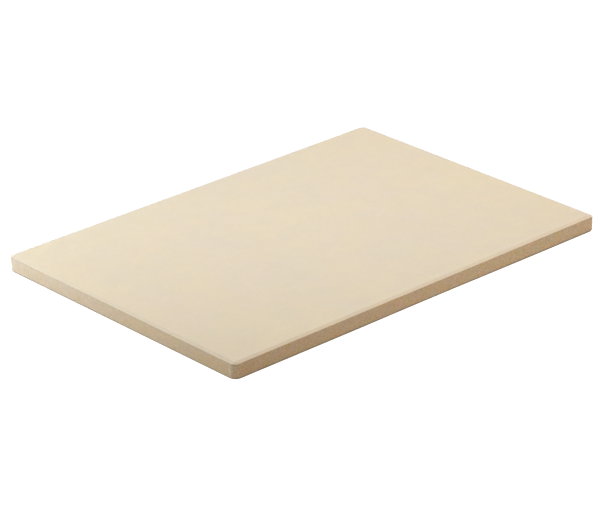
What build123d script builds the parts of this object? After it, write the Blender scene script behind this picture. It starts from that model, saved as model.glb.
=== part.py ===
from build123d import *
import os

# Rectangular baking stone: one pressed and fired slab, lying flat on its underside.
# +Z is up, +X runs along the long side and +Y along the short side.
# The origin is the centre of the underside, on the surface that the slab lies on.

os.makedirs("parts", exist_ok=True)

# ---------------------------------------------------------------- dimensions, mm
slab_length = 420.0  # long side, along X
slab_width = 300.0  # short side, along Y
slab_thickness = 15.0  # underside to baking surface
corner_radius = 5.0  # upright corners, seen from above
top_bevel_inset = 3.0  # how far the top bevel reaches in over the baking surface
top_bevel_drop = 1.4  # how far it comes down the sides
foot_bevel = 0.6  # small 45 degree bevel round the underside

# ---------------------------------------------------------------- the slab
with BuildPart() as baking_slab:
    # outline with rounded corners, pressed to full thickness
    with BuildSketch(Plane.XY):
        RectangleRounded(slab_length, slab_width, corner_radius)
    extrude(amount=slab_thickness)

    # shallow bevel all round the baking surface, wider than it is deep
    baking_face = baking_slab.faces().sort_by(Axis.Z)[-1]
    chamfer(
        baking_face.edges(),
        length=top_bevel_inset,
        length2=top_bevel_drop,
        reference=baking_face,
    )

    # small bevel all round the underside
    underside_face = baking_slab.faces().sort_by(Axis.Z)[0]
    chamfer(underside_face.edges(), length=foot_bevel)

baking_slab.part.label = "baking_slab"
export_step(baking_slab.part, "parts/baking_slab.step")

size = baking_slab.part.bounding_box().size
print("size mm", round(size.X, 3), round(size.Y, 3), round(size.Z, 3))
print("volume cm3", round(baking_slab.part.volume / 1000.0, 2))
print("baking surface mm2", round(baking_slab.faces().sort_by(Axis.Z)[-1].area, 1))
print("underside mm2", round(baking_slab.faces().sort_by(Axis.Z)[0].area, 1))
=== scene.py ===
import math

import bpy
import numpy as np
from mathutils import Matrix, Vector


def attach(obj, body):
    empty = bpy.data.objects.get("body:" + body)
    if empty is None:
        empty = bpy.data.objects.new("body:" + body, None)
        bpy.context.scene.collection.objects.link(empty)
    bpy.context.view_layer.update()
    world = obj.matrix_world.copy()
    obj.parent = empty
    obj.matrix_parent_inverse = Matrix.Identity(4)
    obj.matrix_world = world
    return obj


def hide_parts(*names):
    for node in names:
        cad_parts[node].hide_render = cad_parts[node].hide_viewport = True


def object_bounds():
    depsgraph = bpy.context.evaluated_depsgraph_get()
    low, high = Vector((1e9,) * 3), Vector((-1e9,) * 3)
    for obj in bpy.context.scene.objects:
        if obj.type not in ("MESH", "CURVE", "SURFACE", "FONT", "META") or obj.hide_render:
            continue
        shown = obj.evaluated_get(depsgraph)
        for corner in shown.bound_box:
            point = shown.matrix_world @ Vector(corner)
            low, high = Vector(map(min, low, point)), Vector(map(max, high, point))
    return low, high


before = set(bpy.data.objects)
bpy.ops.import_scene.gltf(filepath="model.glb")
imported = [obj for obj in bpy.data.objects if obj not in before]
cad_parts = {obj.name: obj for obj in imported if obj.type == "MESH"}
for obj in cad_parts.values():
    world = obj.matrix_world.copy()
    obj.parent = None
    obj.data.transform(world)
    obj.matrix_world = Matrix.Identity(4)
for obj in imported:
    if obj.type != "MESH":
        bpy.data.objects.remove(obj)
cad_low, cad_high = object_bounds()

# ------------------------------------------------------------------ the slab's sizes, mm
# Outline, bevels and corners are those of the CAD node that this mesh stands for.
LENGTH, WIDTH, THICK = (1000.0 * (cad_high[i] - cad_low[i]) for i in range(3))
HALF_X, HALF_Y = LENGTH / 2, WIDTH / 2
CORNER_R = 5.0
BEVEL_IN, BEVEL_DOWN = 3.0, 1.4
FOOT = 0.6
# radii of the sides' upright corners, by (x side, y side): pressed a little unequal
SIDE_CORNERS = {(-1, -1): 5.0, (1, -1): 4.0, (1, 1): 6.4, (-1, 1): 4.4}
# and of the outline that rests on the table, which is rubbed rounder
FOOT_CORNERS = {(-1, -1): 6.6, (1, -1): 4.4, (1, 1): 6.4, (-1, 1): 4.6}
# the middle of the foot of the long -Y side, rubbed back too: how far in, where, and how far to each side
RUBBED_IN, RUBBED_X, RUBBED_SPAN = 0.48, 15.0, 115.0

# ------------------------------------------------------------------ camera
# Where the photograph was taken from, fitted to the slab's outline in it.
AZIMUTH = math.radians(-41.19891)
ELEVATION = math.radians(24.45010)
ROLL = math.radians(-1.61753)
DISTANCE, ASIDE, ABOVE = 2.6740584, -0.0039478, -0.0060337
FOCAL_PX, FRAME_W = 3046.544, 600


def make_camera():
    back = Vector((
        math.sin(AZIMUTH) * math.cos(ELEVATION),
        -math.cos(AZIMUTH) * math.cos(ELEVATION),
        math.sin(ELEVATION),
    ))
    right = Vector((0, 0, 1)).cross(back).normalized()
    up = back.cross(right)
    c, s = math.cos(ROLL), math.sin(ROLL)
    right, up = c * right + s * up, c * up - s * right
    data = bpy.data.cameras.new("photo_camera")
    data.sensor_width = 36.0
    data.lens = FOCAL_PX * 36.0 / FRAME_W
    data.clip_start, data.clip_end = 0.05, 100.0
    cam = bpy.data.objects.new("photo_camera", data)
    bpy.context.scene.collection.objects.link(cam)
    turn = Matrix((right, up, back)).transposed()
    cam.matrix_world = (
        Matrix.Translation(right * ASIDE + up * ABOVE + back * DISTANCE)
        @ turn.to_4x4()
    )
    bpy.context.scene.camera = cam


make_camera()

# ------------------------------------------------------------------ seeded noise for the mesh


def sheet_noise(nu, nv, lu, lv, grain, seed):
    """Noise of unit spread on a sheet nu x nv that repeats after lu x lv mm, with features of about that grain."""
    rng = np.random.RandomState(seed)
    fu = np.fft.fftfreq(nu, lu / nu)[:, None]
    fv = np.fft.rfftfreq(nv, lv / nv)[None, :]
    spectrum = np.fft.rfft2(rng.randn(nu, nv)) * np.exp(
        -((fu * grain) ** 2 + (fv * grain) ** 2) * 2.0
    )
    spectrum[0, 0] = 0
    made = np.fft.irfft2(spectrum, (nu, nv))
    return made / made.std()


# ------------------------------------------------------------------ the slab's profile
# Each ring round the slab is (inset from the side, height), from the baking surface over the bevel and
# the side to the underside. The four creases are rounded a little, as pressed clay leaves them.


def rounded(p, before, after, radius, steps):
    """Points of a small round at corner p of the profile."""
    p, before, after = (np.array(v, float) for v in (p, before, after))
    u, v = before - p, after - p
    u, v = u / np.linalg.norm(u), v / np.linalg.norm(v)
    half = math.acos(max(-1.0, min(1.0, float(u @ v)))) / 2
    reach = radius / math.tan(half)
    mid = (u + v) / np.linalg.norm(u + v)
    centre = p + mid * (radius / math.sin(half))
    a, b = p + u * reach - centre, p + v * reach - centre
    turn = math.acos(max(-1.0, min(1.0, float(a @ b) / radius**2)))
    made = []
    for i in range(steps + 1):
        t = i / steps
        made.append(
            centre
            + (math.sin((1 - t) * turn) * a + math.sin(t * turn) * b) / math.sin(turn)
        )
    return made


top_crease, side_crease = (BEVEL_IN, THICK), (0.0, THICK - BEVEL_DOWN)
foot_crease, rest_crease = (0.0, FOOT), (FOOT, 0.0)
profile = [(4.3, THICK), (3.8, THICK)]
profile += rounded(top_crease, (5, THICK), side_crease, 1.6, 4)
profile += [(1.9, THICK - BEVEL_DOWN * 1.1 / 3.0), (1.0, THICK - BEVEL_DOWN * 2.0 / 3.0)]
profile += rounded(side_crease, top_crease, foot_crease, 0.5, 4)
profile += [(0.0, z) for z in np.linspace(THICK - BEVEL_DOWN - 0.8, FOOT + 1.5, 8)]
foot_from = len(profile)
profile += rounded(foot_crease, side_crease, rest_crease, 0.3, 3)
profile += rounded(rest_crease, foot_crease, (5, 0), 0.3, 3)
foot_to = len(profile)
profile += [(1.4, 0.0), (2.4, 0.0)]
profile = np.array([tuple(p) for p in profile], float)
RINGS = len(profile)

NX, NY, NA = 585, 414, 12  # steps along a long side, a short side and round a corner
STRAIGHT_X, STRAIGHT_Y = HALF_X - CORNER_R, HALF_Y - CORNER_R


def ring_xy(nx, ny, na):
    """(centres, outward directions) of a ring: each point is centre + direction * reach."""
    cx, cy, dx, dy = [], [], [], []
    sides = (
        (nx, (-1, -1), (1, -1), (0, -1), -90),
        (ny, (1, -1), (1, 1), (1, 0), 0),
        (nx, (1, 1), (-1, 1), (0, 1), 90),
        (ny, (-1, 1), (-1, -1), (-1, 0), 180),
    )
    for n, start, end, out, angle in sides:
        t = np.arange(n) / n
        cx.append((start[0] + (end[0] - start[0]) * t) * STRAIGHT_X)
        cy.append((start[1] + (end[1] - start[1]) * t) * STRAIGHT_Y)
        dx.append(np.full(n, float(out[0])))
        dy.append(np.full(n, float(out[1])))
        turn = np.radians(angle + 90.0 * np.arange(na) / na)
        cx.append(np.full(na, end[0] * STRAIGHT_X))
        cy.append(np.full(na, end[1] * STRAIGHT_Y))
        dx.append(np.cos(turn))
        dy.append(np.sin(turn))
    centres = np.stack([np.concatenate(cx), np.concatenate(cy)], 1)
    outward = np.stack([np.concatenate(dx), np.concatenate(dy)], 1)
    return centres, outward


def outline(centres, outward, inset, corners):
    """How far from its centre each column meets the outline with these corner radii, this far in."""
    at = centres + outward
    radius = np.array([corners[(1 if x > 0 else -1, 1 if y > 0 else -1)] for x, y in at])
    half = np.array([HALF_X, HALF_Y]) - inset - radius[:, None]
    reach = np.full(len(centres), 1.5 * CORNER_R - inset)
    for _ in range(24):
        at = np.abs(centres + outward * reach[:, None]) - half
        reach -= np.hypot(*np.maximum(at, 0).T) + np.minimum(at.max(1), 0) - radius
    return reach


def side_outline(centres, outward, inset):
    sharper = {key: max(radius - inset, 0.0) for key, radius in SIDE_CORNERS.items()}
    return outline(centres, outward, inset, sharper)


def rubbed_foot(centres, outward):
    """How much further in the foot reaches at each column: round the corners, and along one long side."""
    rubbed = side_outline(centres, outward, FOOT) - outline(centres, outward, FOOT, FOOT_CORNERS)
    near = np.clip(1 - np.abs(centres[:, 0] - RUBBED_X) / RUBBED_SPAN, 0, 1)
    along_side = near**2 * (3 - 2 * near) * (outward[:, 1] < -0.99)
    return rubbed + RUBBED_IN * along_side


def build_slab():
    centres, outward = ring_xy(NX, NY, NA)
    rubbed = rubbed_foot(centres, outward)
    count = len(centres)
    round_mm = 4 * (STRAIGHT_X + STRAIGHT_Y) + 2 * math.pi * CORNER_R
    place = np.arange(count) * round_mm / count  # how far round the slab each column is

    # how far along the profile each ring is, and which way it faces, as (outward, up)
    steps = np.linalg.norm(np.diff(profile, axis=0), axis=1)
    along = np.concatenate([[0], np.cumsum(steps)])
    tangent = np.gradient(profile, axis=0)
    tangent /= np.linalg.norm(tangent, axis=1)[:, None]
    face = np.stack([-tangent[:, 1], -tangent[:, 0]], 1)
    inset, level = profile[:, 0], profile[:, 1]
    at_top = along[int(np.argmin((inset - BEVEL_IN) ** 2 + (level - THICK) ** 2))]
    at_side = along[int(np.argmin(inset**2 + (level - THICK + BEVEL_DOWN) ** 2))]

    # slight unevenness of the pressed side, always inwards, so that the slab never outgrows its size
    fine = sheet_noise(count, 64, round_mm, 32.0, 1.3, 11)
    broad = sheet_noise(count, 64, round_mm, 32.0, 7.0, 12)
    column = along * 2.0
    low = np.floor(column).astype(int) % 64
    share = column - np.floor(column)

    def down_the_side(sheet):
        return sheet[:, low] * (1 - share) + sheet[:, (low + 1) % 64] * share

    on_side = np.clip((THICK - 0.4 - level) / 1.5, 0, 1)
    rough = down_the_side(fine) * 0.012 + down_the_side(broad) * 0.012
    sunk = np.clip(0.06 + rough, 0.0, 0.14) * on_side[None, :]

    # faint upright lines where each rounded corner begins, left by the die; the material paints them lighter, part
    # wear and part painted highlight
    seam, arc = np.zeros(count), np.zeros(count)
    at = 0
    for n, worn in ((NX, 0.25), (NY, 0.4), (NX, 0.4), (NY, 1.0)):
        at += n
        arc[(at + np.arange(NA)) % count] = 1.0
        for line, strength in ((at - 2, worn), (at + NA, 0.15 * worn)):
            for side, part in ((-1, 0.35), (0, 1.0), (1, 0.35)):
                seam[(line + side) % count] = max(seam[(line + side) % count], strength * part)
        at += NA
    upright = np.clip((THICK - BEVEL_DOWN - level) / 0.6, 0, 1) * np.clip((level - FOOT - 1.0) / 4.5, 0, 1)
    seam = seam[:, None] * upright[None, :]
    seam *= np.clip(0.75 + 0.8 * down_the_side(sheet_noise(count, 64, round_mm, 32.0, 1.5, 13)), 0.0, 1.7)
    sunk = sunk * (1 - 0.9 * np.clip(seam, 0, 1))

    # tiny nicks along the side crease, where the stone knocks against things first
    rng = np.random.RandomState(5)
    nick = np.zeros((count, RINGS))
    for _ in range(46):
        where, size = rng.uniform(0, round_mm), rng.uniform(0.5, 1.3)
        deep, lift = rng.uniform(0.04, 0.16), rng.uniform(-0.5, 0.5)
        d1 = np.abs(place - where)
        d1 = np.minimum(d1, round_mm - d1)[:, None]
        d2 = (along - at_side - lift)[None, :]
        near = np.clip(1 - (d1**2 + d2**2) / size**2, 0, 1) ** 2
        sunk = sunk + deep * near
        nick = np.maximum(nick, near * deep / 0.16)

    # masks for the material, one number for each point of the rings
    flat = np.ones((count, 1))
    masks = {
        "side": flat * np.clip((THICK - BEVEL_DOWN + 0.12 - level) / 0.24, 0, 1),
        "long": (outward[:, 1:] ** 2) * np.clip((THICK - BEVEL_DOWN + 0.12 - level) / 0.24, 0, 1),
        "under": flat * np.clip((inset - 0.25) / 0.4, 0, 1) * (level < 0.9),
        "bevel": flat * np.clip((THICK - 0.05 - level) / 0.35, 0, 1) * (level > THICK - BEVEL_DOWN - 0.05),
        # far: where the painted shade on the far sides' bevels goes
        "far": np.clip(outward.max(1, keepdims=True), 0, 1)
        * np.clip((5.0 - inset) / 1.6, 0, 1)
        * (level > THICK - BEVEL_DOWN - 0.05),
        # foot: where the painted shade along the foot goes
        "foot": flat * np.clip(1.0 - (level - FOOT - 0.4) / 1.1, 0, 1) * (inset < 1.2),
        # crease: painted highlight along both creases, stronger round the corners, partly burnished wear
        "crease": (1 + 1.2 * arc[:, None])
        * np.maximum(
            0.8 * np.exp(-(((along - at_top) / 0.55) ** 2)),
            1.0 * np.exp(-(((along - at_side + 0.35) / 0.4) ** 2)),
        ),
        # lip: painted shade just below the side crease, strongest round the corners
        "lip": (1 + 2.0 * arc[:, None]) * np.exp(-(((along - at_side - 0.75) / 0.45) ** 2))
        + 1.2 * arc[:, None] * np.exp(-(((along - at_side - 1.3) / 0.6) ** 2)),
        "seam": seam,
        "nick": nick,
    }

    rings = []
    for j in range(RINGS):
        # the foot's bevel grows where it is rubbed, and the underside's rings give way to it
        further, taller = 0.0, level[j]
        if foot_from <= j < foot_to:
            further = inset[j] * rubbed / FOOT
            taller = level[j] * (1 + 0.8 * rubbed / FOOT)
        elif j >= foot_to:
            further = rubbed
        reach = side_outline(centres, outward, inset[j]) - further - sunk[:, j] * face[j, 0]
        height = taller - sunk[:, j] * face[j, 1]
        xy = centres + outward * reach[:, None]
        rings.append(np.column_stack([xy, np.clip(height, 0.0, THICK)]))
    verts = [np.concatenate(rings)]
    values = {name: [mask.T.ravel()] for name, mask in masks.items()}

    def add_points(points, under):
        verts.append(points)
        for name, parts in values.items():
            parts.append(np.full(len(points), float(under) if name == "under" else 0.0))

    # the side: quads from ring to ring
    k = np.arange(count)
    nxt = (k + 1) % count
    quads = []
    for j in range(RINGS - 1):
        a, b = j * count, (j + 1) * count
        quads.append(np.stack([a + k, b + k, b + nxt, a + nxt], 1))
    more_quads, tris = [], []

    def grid(nx, ny, z, base):
        """A flat rectangle inside the rings: its points, and the index of each by (i, j)."""
        x = np.linspace(-STRAIGHT_X, STRAIGHT_X, nx + 1)
        y = np.linspace(-STRAIGHT_Y, STRAIGHT_Y, ny + 1)
        gx, gy = np.meshgrid(x, y, indexing="ij")
        points = np.stack([gx, gy, np.full_like(gx, z)], -1)
        return points, base + np.arange(gx.size).reshape(gx.shape)

    def border(index):
        """The grid's border in the rings' order, and its four corners."""
        return (
            [index[:-1, 0], index[-1, :-1], index[:0:-1, -1], index[0, :0:-1]],
            [index[-1, 0], index[-1, -1], index[0, -1], index[0, 0]],
        )

    def join(outer, counts, arc, sides, corners, step):
        """Three steps of the outer ring to each step of the inner border, and a fan at each corner."""
        at, total = 0, len(outer)
        for n, side, corner in zip(counts, sides, corners):
            inner = np.concatenate([side, [corner]])
            for i in range(n // 3):
                o = [outer[(at + 3 * i + m) % total] for m in range(4)]
                p, q = inner[i], inner[i + 1]
                more_quads.append([p, o[1], o[2], q][::step])
                tris.append([p, o[0], o[1]][::step])
                tris.append([q, o[2], o[3]][::step])
            at += n
            for i in range(arc):
                fan = [corner, outer[(at + i) % total], outer[(at + i + 1) % total]]
                tris.append(fan[::step])
            at += arc

    # baking surface, with a waviness of a few hundredths of a millimetre
    top, top_index = grid(NX // 3, NY // 3, THICK, RINGS * count)
    gentle = sheet_noise(256, 256, 512.0, 512.0, 60.0, 21)
    fx = ((top[..., 0] + 256) / 2.0).astype(int) % 256
    fy = ((top[..., 1] + 256) / 2.0).astype(int) % 256
    inner = np.minimum(STRAIGHT_X - np.abs(top[..., 0]), STRAIGHT_Y - np.abs(top[..., 1]))
    top[..., 2] -= np.clip(0.012 + gentle[fx, fy] * 0.006, 0, 0.03) * np.clip(inner / 20, 0, 1)
    add_points(top.reshape(-1, 3), False)
    quads.append(
        np.stack(
            [top_index[:-1, :-1], top_index[1:, :-1], top_index[1:, 1:], top_index[:-1, 1:]],
            -1,
        ).reshape(-1, 4)
    )
    sides, corners = border(top_index)
    join(np.arange(count), (NX, NY, NX, NY), NA, sides, corners, 1)

    # underside: one more ring with a third of the steps, then a coarser grid
    base = RINGS * count + top_index.size
    c2, o2 = ring_xy(NX // 3, NY // 3, NA // 3)
    reach = side_outline(c2, o2, 3.4) - rubbed_foot(c2, o2)
    ring = np.column_stack([c2 + o2 * reach[:, None], np.zeros(len(c2))])
    add_points(ring, True)
    last = (RINGS - 1) * count
    for i in range(len(ring)):
        o = [last + (3 * i + m) % count for m in range(4)]
        p, q = base + i, base + (i + 1) % len(ring)
        more_quads.append([q, o[2], o[1], p])
        tris.append([o[1], o[0], p])
        tris.append([o[3], o[2], q])
    under, under_index = grid(NX // 9, NY // 9, 0.0, base + len(ring))
    add_points(under.reshape(-1, 3), True)
    quads.append(
        np.stack(
            [under_index[:-1, :-1], under_index[:-1, 1:], under_index[1:, 1:], under_index[1:, :-1]],
            -1,
        ).reshape(-1, 4)
    )
    sides, corners = border(under_index)
    join(
        base + np.arange(len(ring)),
        (NX // 3, NY // 3, NX // 3, NY // 3),
        NA // 3,
        sides,
        corners,
        -1,
    )

    points = np.concatenate(verts) / 1000.0
    quads = np.concatenate(quads + [np.array(more_quads)])
    tris = np.array(tris)

    mesh = bpy.data.meshes.new("stone_slab")
    mesh.vertices.add(len(points))
    mesh.vertices.foreach_set("co", points.astype(np.float32).ravel())
    loops = np.concatenate([quads.ravel(), tris.ravel()]).astype(np.int32)
    starts_at = np.concatenate(
        [np.arange(len(quads)) * 4, len(quads) * 4 + np.arange(len(tris)) * 3]
    ).astype(np.int32)
    mesh.loops.add(len(loops))
    mesh.loops.foreach_set("vertex_index", loops)
    mesh.polygons.add(len(starts_at))
    mesh.polygons.foreach_set("loop_start", starts_at)
    mesh.update(calc_edges=True)
    mesh.validate()
    mesh.shade_smooth()
    for name, parts in values.items():
        layer = mesh.attributes.new(name, "FLOAT", "POINT")
        layer.data.foreach_set("value", np.concatenate(parts).astype(np.float32))
    print("slab triangles", 2 * len(quads) + len(tris))
    return mesh


slab_mesh = build_slab()
slab = bpy.data.objects.new("stone_slab", slab_mesh)
bpy.context.scene.collection.objects.link(slab)
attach(slab, "root")
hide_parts("baking_slab")


# ------------------------------------------------------------------ material
# Unglazed fired clay body: cream on the pressed faces, browner and more mottled on the sides.

TOP_CREAM = (0.7605, 0.655, 0.5115)
TOP_WARM = (0.7605, 0.655, 0.479)
SIDE_TAN = (0.722, 0.531, 0.329)  # the sides as a whole
SIDE_LIT_PALE = (0.707, 0.548, 0.375)  # painted light: one short side, paler where the left lights fall strongest
SIDE_SHADED_BROWN = (0.615, 0.435, 0.249)  # painted shade: browner and darker towards one corner
BEVEL_TINT = (1.041, 1.012, 0.987)
FAR_SHADE_TINT = (0.940, 0.964, 1.030)  # painted shade: along the edges of the two far sides, a little greyer and darker
MIDDLE_TINT = (1.000, 1.007, 1.020)  # the middle of the baking surface
END_TINT = (1.000, 0.987, 0.960)  # its two ends, a little warmer
OCHRE_TINT = (1.000, 1.000, 0.862)
GREY_TINT = (1.000, 1.002, 1.150)
UNDER_CREAM = (0.720, 0.612, 0.455)
# painted shade along the foot, where the table's contact shadow falls
FOOT_SHADE = (0.27, 0.25, 0.215)
PALE = (0.86, 0.75, 0.58)
# lighter clay of worn nicks, and along the corner seams also a painted highlight
WORN_AND_HIGHLIGHT = (0.87, 0.73, 0.55)
IRON = (0.34, 0.22, 0.13)


class Nodes:
    """Short names for making and joining shader nodes."""

    def __init__(self, tree):
        self.tree = tree

    def new(self, kind, **settings):
        made = self.tree.nodes.new(kind)
        for key, value in settings.items():
            setattr(made, key, value)
        return made

    def put(self, socket, value):
        if isinstance(value, bpy.types.NodeSocket):
            self.tree.links.new(value, socket)
        elif isinstance(value, tuple) and len(value) == 3 and socket.type == "RGBA":
            socket.default_value = (*value, 1.0)
        else:
            socket.default_value = value

    def math(self, operation, a, b=0.0, clamp=False):
        made = self.new("ShaderNodeMath", operation=operation, use_clamp=clamp)
        self.put(made.inputs[0], a)
        self.put(made.inputs[1], b)
        return made.outputs[0]

    def mask(self, name):
        made = self.new("ShaderNodeAttribute", attribute_type="GEOMETRY", attribute_name=name)
        return made.outputs["Fac"]

    def shift(self, vector, offset, stretch=(1.0, 1.0, 1.0)):
        made = self.new("ShaderNodeMapping")
        self.put(made.inputs["Vector"], vector)
        made.inputs["Location"].default_value = offset
        made.inputs["Scale"].default_value = stretch
        return made.outputs["Vector"]

    def noise(self, vector, size_mm, detail=2.0, rough=0.5, distort=0.0):
        made = self.new("ShaderNodeTexNoise")
        self.put(made.inputs["Vector"], vector)
        made.inputs["Scale"].default_value = 1000.0 / size_mm
        made.inputs["Detail"].default_value = detail
        made.inputs["Roughness"].default_value = rough
        made.inputs["Distortion"].default_value = distort
        return made.outputs["Fac"]

    def span(self, value, low, high, to_low=0.0, to_high=1.0, smooth=True):
        made = self.new(
            "ShaderNodeMapRange", interpolation_type="SMOOTHSTEP" if smooth else "LINEAR"
        )
        self.put(made.inputs["Value"], value)
        for name, number in zip(
            ("From Min", "From Max", "To Min", "To Max"), (low, high, to_low, to_high)
        ):
            made.inputs[name].default_value = number
        return made.outputs["Result"]

    def mix(self, share, a, b):
        made = self.new("ShaderNodeMix", data_type="RGBA")
        self.put(made.inputs[0], share)
        self.put(made.inputs[6], a)
        self.put(made.inputs[7], b)
        return made.outputs[2]

    def scaled(self, colour, by):
        made = self.new("ShaderNodeVectorMath", operation="SCALE")
        self.put(made.inputs[0], colour)
        self.put(made.inputs["Scale"], by)
        return made.outputs[0]

    def toned(self, colour, swing, weights):
        """The colour times 1 + swing, with a weight for each of red, green and blue."""
        each = self.new("ShaderNodeVectorMath", operation="SCALE")
        each.inputs[0].default_value = weights
        self.put(each.inputs["Scale"], swing)
        by = self.new("ShaderNodeVectorMath", operation="ADD")
        self.put(by.inputs[0], each.outputs[0])
        by.inputs[1].default_value = (1.0, 1.0, 1.0)
        made = self.new("ShaderNodeVectorMath", operation="MULTIPLY")
        self.put(made.inputs[0], colour)
        self.put(made.inputs[1], by.outputs[0])
        return made.outputs[0]

    def tinted(self, colour, tint):
        made = self.new("ShaderNodeVectorMath", operation="MULTIPLY")
        self.put(made.inputs[0], colour)
        made.inputs[1].default_value = tint
        return made.outputs[0]

    def specks(self, vector, cell_mm, radius_mm, share):
        """Round grains: 1 inside a grain, 0 outside. Only this share of the cells holds one."""
        made = self.new("ShaderNodeTexVoronoi", feature="F1", voronoi_dimensions="3D")
        self.put(made.inputs["Vector"], vector)
        made.inputs["Scale"].default_value = 1000.0 / cell_mm
        reach = radius_mm / cell_mm
        inside = self.span(made.outputs["Distance"], reach * 0.6, reach, 1.0, 0.0)
        pick = self.new("ShaderNodeSeparateColor")
        self.put(pick.inputs[0], made.outputs["Color"])
        chosen = self.math("LESS_THAN", pick.outputs[0], share)
        return self.math("MULTIPLY", inside, chosen)


def stone_material():
    mat = bpy.data.materials.new("cordierite")
    mat.use_nodes = True
    n = Nodes(mat.node_tree)
    bsdf = mat.node_tree.nodes["Principled BSDF"]
    where = n.new("ShaderNodeTexCoord").outputs["Object"]
    side, under, foot = n.mask("side"), n.mask("under"), n.mask("foot")
    crease, lip, seam, nick = n.mask("crease"), n.mask("lip"), n.mask("seam"), n.mask("nick")
    bevel, long, far = n.mask("bevel"), n.mask("long"), n.mask("far")

    # noises, each read at its own offset
    cloud = n.noise(n.shift(where, (0.31, 0.17, 0.05)), 85.0, 2.0, 0.55)
    tint = n.noise(n.shift(where, (0.67, 0.91, 0.43)), 24.0, 2.0, 0.55)
    blotch = n.noise(n.shift(where, (0.73, 0.29, 0.41)), 17.0, 2.0, 0.5, 0.4)
    blush = n.noise(n.shift(where, (0.83, 0.37, 0.59)), 60.0, 4.0, 0.8)
    mottle = n.noise(n.shift(where, (0.11, 0.53, 0.23), (1.0, 1.0, 1.3)), 5.0, 2.0, 0.6)
    hue = n.noise(n.shift(where, (0.47, 0.61, 0.19)), 8.5, 2.0, 0.5)
    flush = n.noise(n.shift(where, (0.29, 0.13, 0.77)), 8.5, 2.0, 0.5)
    grain = n.noise(n.shift(where, (0.07, 0.83, 0.37), (1.0, 1.0, 2.2)), 1.7, 3.0, 0.6)
    sand = n.noise(n.shift(where, (0.59, 0.43, 0.13), (1.0, 1.0, 1.5)), 0.55, 2.0, 0.6)

    # body colours
    warmth = n.math("ADD", n.math("MULTIPLY", cloud, 0.4), n.math("MULTIPLY", tint, 0.6))
    top = n.mix(n.span(warmth, 0.38, 0.62, smooth=False), TOP_CREAM, TOP_WARM)
    top = n.toned(top, n.math("MULTIPLY", n.math("SUBTRACT", blush, 0.5), 0.052), (1.0, -0.55, 0.0))
    split = n.new("ShaderNodeSeparateXYZ")
    n.put(split.inputs[0], where)
    off_middle = n.math("MULTIPLY", split.outputs["X"], 1000.0 / HALF_X)
    off_middle = n.math("MULTIPLY", off_middle, off_middle)
    off_middle = n.math("MULTIPLY", off_middle, n.span(bevel, 0.0, 1.0, 1.0, 0.75, smooth=False))
    top = n.mix(off_middle, n.tinted(top, MIDDLE_TINT), n.tinted(top, END_TINT))
    # painted light: its far side is a little lighter than its near side, and the bevel a little darker towards its
    # far side
    slope = n.math("MULTIPLY", split.outputs["Y"], 1000.0 / HALF_Y)
    slope = n.math("MULTIPLY", slope, n.span(bevel, 0.0, 1.0, 0.016, -0.012, smooth=False))
    top = n.scaled(top, n.math("ADD", 1.0, slope))
    tan = SIDE_TAN
    # painted light and shade on the sides: paler round the -X +Y corner, browner and darker round the -X -Y corner
    for corner_y, colour, full, none in (
        (HALF_Y, SIDE_LIT_PALE, 0.30, 0.36),
        (-HALF_Y, SIDE_SHADED_BROWN, 0.0, 0.30),
    ):
        apart = n.new("ShaderNodeVectorMath", operation="DISTANCE")
        n.put(apart.inputs[0], where)
        apart.inputs[1].default_value = (-HALF_X / 1000.0, corner_y / 1000.0, 0.007)
        near = n.span(apart.outputs["Value"], full, none, 1.0, 0.0, smooth=False)
        tan = n.mix(near, tan, colour)
    # the sides are a little less brown towards the baking surface
    tan = n.mix(n.span(split.outputs["Z"], 0.002, 0.0135, -0.07, 0.10, smooth=False), tan, TOP_CREAM)
    ochre, grey = n.tinted(tan, OCHRE_TINT), n.tinted(tan, GREY_TINT)
    strength = n.span(long, 0.0, 1.0, 0.60, 1.0, smooth=False)
    share = n.math("SUBTRACT", n.span(hue, 0.30, 0.70, smooth=False), 0.5)
    tan = n.mix(n.math("ADD", n.math("MULTIPLY", share, strength), 0.5), grey, ochre)
    share = n.math("SUBTRACT", n.span(flush, 0.30, 0.70, smooth=False), 0.5)
    tan = n.toned(tan, n.math("MULTIPLY", n.math("MULTIPLY", share, strength), 0.085), (1.0, -0.55, 0.0))
    top = n.mix(bevel, top, n.tinted(top, BEVEL_TINT))
    # painted shade on the bevels of the two far sides
    top = n.mix(far, top, n.tinted(top, FAR_SHADE_TINT))
    body = n.mix(side, top, tan)
    body = n.mix(under, body, UNDER_CREAM)

    # lightness: faint everywhere, stronger on the sides
    def part(noise, on_top, on_side, more_on_long):
        swing = n.math("SUBTRACT", noise, 0.5)
        much = n.span(side, 0.0, 1.0, on_top, on_side, smooth=False)
        much = n.math("ADD", much, n.math("MULTIPLY", long, more_on_long))
        return n.math("MULTIPLY", swing, much)

    tone = n.math("ADD", 1.0, part(cloud, 0.045, 0.035, 0.02))
    tone = n.math("ADD", tone, part(tint, 0.040, 0.0, 0.02))
    tone = n.math("ADD", tone, part(blotch, 0.040, 0.05, 0.01))
    # painted highlight along the creases, partly burnished wear
    tone = n.math("ADD", tone, n.math("MULTIPLY", crease, 0.025))
    # painted shade just below the side crease
    tone = n.math("SUBTRACT", tone, n.math("MULTIPLY", lip, 0.05))
    body = n.scaled(body, tone)
    fine = n.math("ADD", part(grain, 0.080, 0.40, 0.12), part(sand, 0.110, 1.70, 0.70))
    fine = n.math("ADD", fine, part(mottle, 0.050, 0.16, -0.04))
    body = n.toned(body, fine, (0.83, 1.00, 1.15))

    # grains and specks of the clay body
    dark = n.specks(n.shift(where, (0.21, 0.35, 0.67)), 1.9, 0.26, 0.16)
    pale = n.specks(n.shift(where, (0.51, 0.75, 0.27)), 2.3, 0.55, 0.20)
    body = n.mix(n.math("MULTIPLY", dark, 0.30), body, IRON)
    body = n.mix(n.math("MULTIPLY", pale, 0.16), body, PALE)

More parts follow.
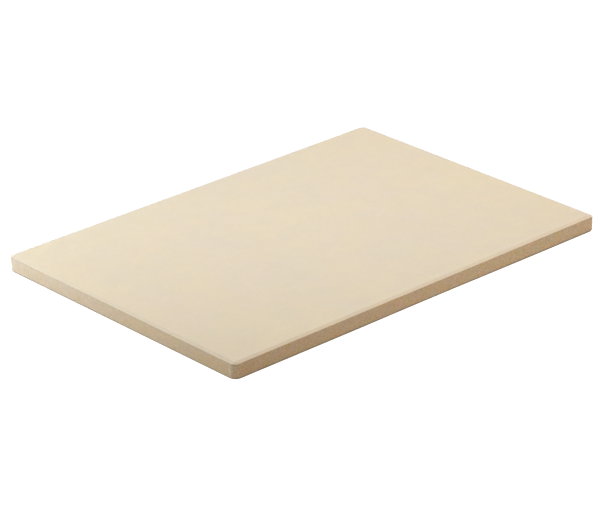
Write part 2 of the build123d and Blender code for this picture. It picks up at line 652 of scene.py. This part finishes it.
    # wear on the nicks, a lighter line on the seams that is part wear and part painted highlight, and painted
    # shade along the foot
    # seams: lighter, part wear and part painted highlight
    body = n.mix(n.math("MULTIPLY", seam, 0.38), body, WORN_AND_HIGHLIGHT)
    body = n.mix(n.math("MULTIPLY", nick, 0.45), body, WORN_AND_HIGHLIGHT)
    # painted shade along the foot: patchy, stronger on the long sides
    foot_shade = n.math("MULTIPLY", foot, n.span(blotch, 0.3, 0.7, 0.75, 1.0))
    foot_shade = n.math("MULTIPLY", foot_shade, n.span(long, 0.0, 1.0, 0.48, 0.72, smooth=False))
    body = n.mix(foot_shade, body, FOOT_SHADE)
    n.put(bsdf.inputs["Base Color"], body)

    # a dry, open surface
    dull = n.span(n.noise(n.shift(where, (0.9, 0.1, 0.7)), 3.0, 2.0, 0.6), 0.3, 0.7, 0.84, 0.93)
    n.put(bsdf.inputs["Roughness"], n.math("ADD", dull, n.math("MULTIPLY", side, 0.05)))
    bsdf.inputs["Specular IOR Level"].default_value = 0.22

    # relief: sandy grain and open pores, rougher on the sides
    pores = n.specks(n.shift(where, (0.33, 0.93, 0.57)), 1.1, 0.20, 0.30)
    height = n.math("MULTIPLY", n.math("SUBTRACT", sand, 0.5), 0.9)
    height = n.math("ADD", height, n.math("MULTIPLY", n.math("SUBTRACT", grain, 0.5), 1.3))
    height = n.math("SUBTRACT", height, n.math("MULTIPLY", pores, 0.8))
    height = n.math("MULTIPLY", height, n.span(side, 0.0, 1.0, 1.0, 1.6, smooth=False))
    bump = n.new("ShaderNodeBump")
    bump.inputs["Strength"].default_value = 1.0
    bump.inputs["Distance"].default_value = 0.00005
    n.put(bump.inputs["Height"], height)
    n.put(bsdf.inputs["Normal"], bump.outputs["Normal"])
    return mat


slab_mesh.materials.append(stone_material())

# ------------------------------------------------------------------ floor, backdrop and light


def soft_box(name, direction_deg, elevation_deg, distance, size, power, colour=(1, 1, 1)):
    """A square studio light that faces the stone, from this direction in plan, counted from +X."""
    a, e = math.radians(direction_deg), math.radians(elevation_deg)
    way = Vector((math.cos(a) * math.cos(e), math.sin(a) * math.cos(e), math.sin(e)))
    data = bpy.data.lights.new(name, "AREA")
    data.shape = "SQUARE"
    data.size = size
    data.energy = power
    data.color = colour
    light = bpy.data.objects.new(name, data)
    bpy.context.scene.collection.objects.link(light)
    light.location = way * distance
    light.rotation_mode = "QUATERNION"
    light.rotation_quaternion = way.to_track_quat("Z", "Y")
    light.visible_camera = False
    return light


soft_box("over_table", 0, 89.9, 0.8, 0.4, 2.48, (1.121, 1.0, 0.863))
soft_box("back_right", 3.8, 42, 1.5, 1.0, 15.88, (0.946, 1.0, 1.064))
soft_box("left", 183.8, 25, 1.3, 0.8, 2.67, (0.861, 1.0, 1.161))
soft_box("near_left", 138.8, 28, 0.75, 0.31, 1.39, (0.863, 1.0, 1.158))
soft_box("low_left", 138.8, 12.5, 0.75, 0.31, 1.42, (0.859, 1.0, 1.155))
soft_box("near_front", -80, 20, 0.9, 0.45, 1.00, (1.170, 1.0, 0.820))

# A white room: it shows white to the camera, and gives no light to the stone.
world = bpy.data.worlds.new("studio")
bpy.context.scene.world = world
world.use_nodes = True
w = Nodes(world.node_tree)
background = world.node_tree.nodes["Background"]
background.inputs["Color"].default_value = (1, 1, 1, 1)
seen = w.new("ShaderNodeLightPath").outputs["Is Camera Ray"]
w.put(background.inputs["Strength"], w.math("MULTIPLY", seen, 1.03))

# A pale glowing tabletop, as in product photography. It shows white right up to the stone, and can't be
# seen from below.
floor_mesh = bpy.data.meshes.new("floor")
floor_mesh.from_pydata(
    [(-70, -40, -0.0002), (70, -40, -0.0002), (0, 80, -0.0002)],
    [],
    [(0, 1, 2)],
)
floor = bpy.data.objects.new("floor", floor_mesh)
bpy.context.scene.collection.objects.link(floor)


def floor_material():
    mat = bpy.data.materials.new("floor")
    mat.use_nodes = True
    tree = mat.node_tree
    tree.nodes.clear()
    n = Nodes(tree)
    matte = n.new("ShaderNodeBsdfDiffuse")
    glow = n.new("ShaderNodeEmission")
    seen = n.new("ShaderNodeLightPath").outputs["Is Camera Ray"]
    # painted contact shadow: where the stone lies, and under the small bevel round its foot, the table is dark
    where = n.new("ShaderNodeTexCoord").outputs["Object"]
    apart = n.new("ShaderNodeVectorMath", operation="ABSOLUTE")
    n.put(apart.inputs[0], where)
    past = n.new("ShaderNodeVectorMath", operation="SUBTRACT")
    n.put(past.inputs[0], apart.outputs[0])
    past.inputs[1].default_value = ((STRAIGHT_X - 0.07) / 1000.0, STRAIGHT_Y / 1000.0, 1.0)
    beyond = n.new("ShaderNodeVectorMath", operation="MAXIMUM")
    n.put(beyond.inputs[0], past.outputs[0])
    reach = n.new("ShaderNodeVectorMath", operation="LENGTH")
    n.put(reach.inputs[0], beyond.outputs[0])
    # the painted contact shadow gives way where the foot is rubbed back: along the long -Y side and at the -X -Y
    # corner
    split = n.new("ShaderNodeSeparateXYZ")
    n.put(split.inputs[0], where)
    off = n.math("ABSOLUTE", n.math("SUBTRACT", split.outputs["X"], RUBBED_X / 1000.0))
    given = n.span(off, 0.0, RUBBED_SPAN / 1000.0, (RUBBED_IN + 0.10) / 1000.0, 0.0)
    given = n.math("MULTIPLY", given, n.math("LESS_THAN", split.outputs["Y"], 0.0))
    corner = n.new("ShaderNodeVectorMath", operation="DISTANCE")
    n.put(corner.inputs[0], where)
    corner.inputs[1].default_value = (-HALF_X / 1000.0, -HALF_Y / 1000.0, 0.0)
    given = n.math("ADD", given, n.span(corner.outputs["Value"], 0.003, 0.0075, 0.0008, 0.0))
    past_foot = n.math("ADD", reach.outputs["Value"], given)
    open_table = n.span(past_foot, (CORNER_R - 0.60) / 1000.0, (CORNER_R - 0.40) / 1000.0)
    # a little way from the stone the table shows just white and no brighter
    away = n.span(reach.outputs["Value"], (CORNER_R + 4.0) / 1000.0, (CORNER_R + 12.0) / 1000.0)
    plain = n.math("MULTIPLY", away, seen)
    lit = n.mix(open_table, (0.4, 0.38, 0.35), (0.5, 0.5, 0.5))
    n.put(matte.inputs["Color"], n.mix(plain, lit, (0.0, 0.0, 0.0)))
    n.put(glow.inputs["Color"], n.mix(plain, (1.0, 0.967, 0.933), (1.0, 1.0, 1.0)))
    level = n.span(away, 0.0, 1.0, 1.15, 1.03, smooth=False)
    shown = n.math("SUBTRACT", n.math("MULTIPLY", open_table, level), 0.4)
    n.put(glow.inputs["Strength"], n.math("ADD", 0.4, n.math("MULTIPLY", seen, shown)))
    both = n.new("ShaderNodeAddShader")
    n.put(both.inputs[0], matte.outputs[0])
    n.put(both.inputs[1], glow.outputs[0])
    pick = n.new("ShaderNodeMixShader")
    n.put(pick.inputs[0], n.new("ShaderNodeNewGeometry").outputs["Backfacing"])
    n.put(pick.inputs[1], both.outputs[0])
    n.put(pick.inputs[2], n.new("ShaderNodeBsdfTransparent").outputs[0])
    n.put(n.new("ShaderNodeOutputMaterial").inputs["Surface"], pick.outputs[0])
    return mat


floor_mesh.materials.append(floor_material())

bpy.context.scene.view_settings.view_transform = "Standard"
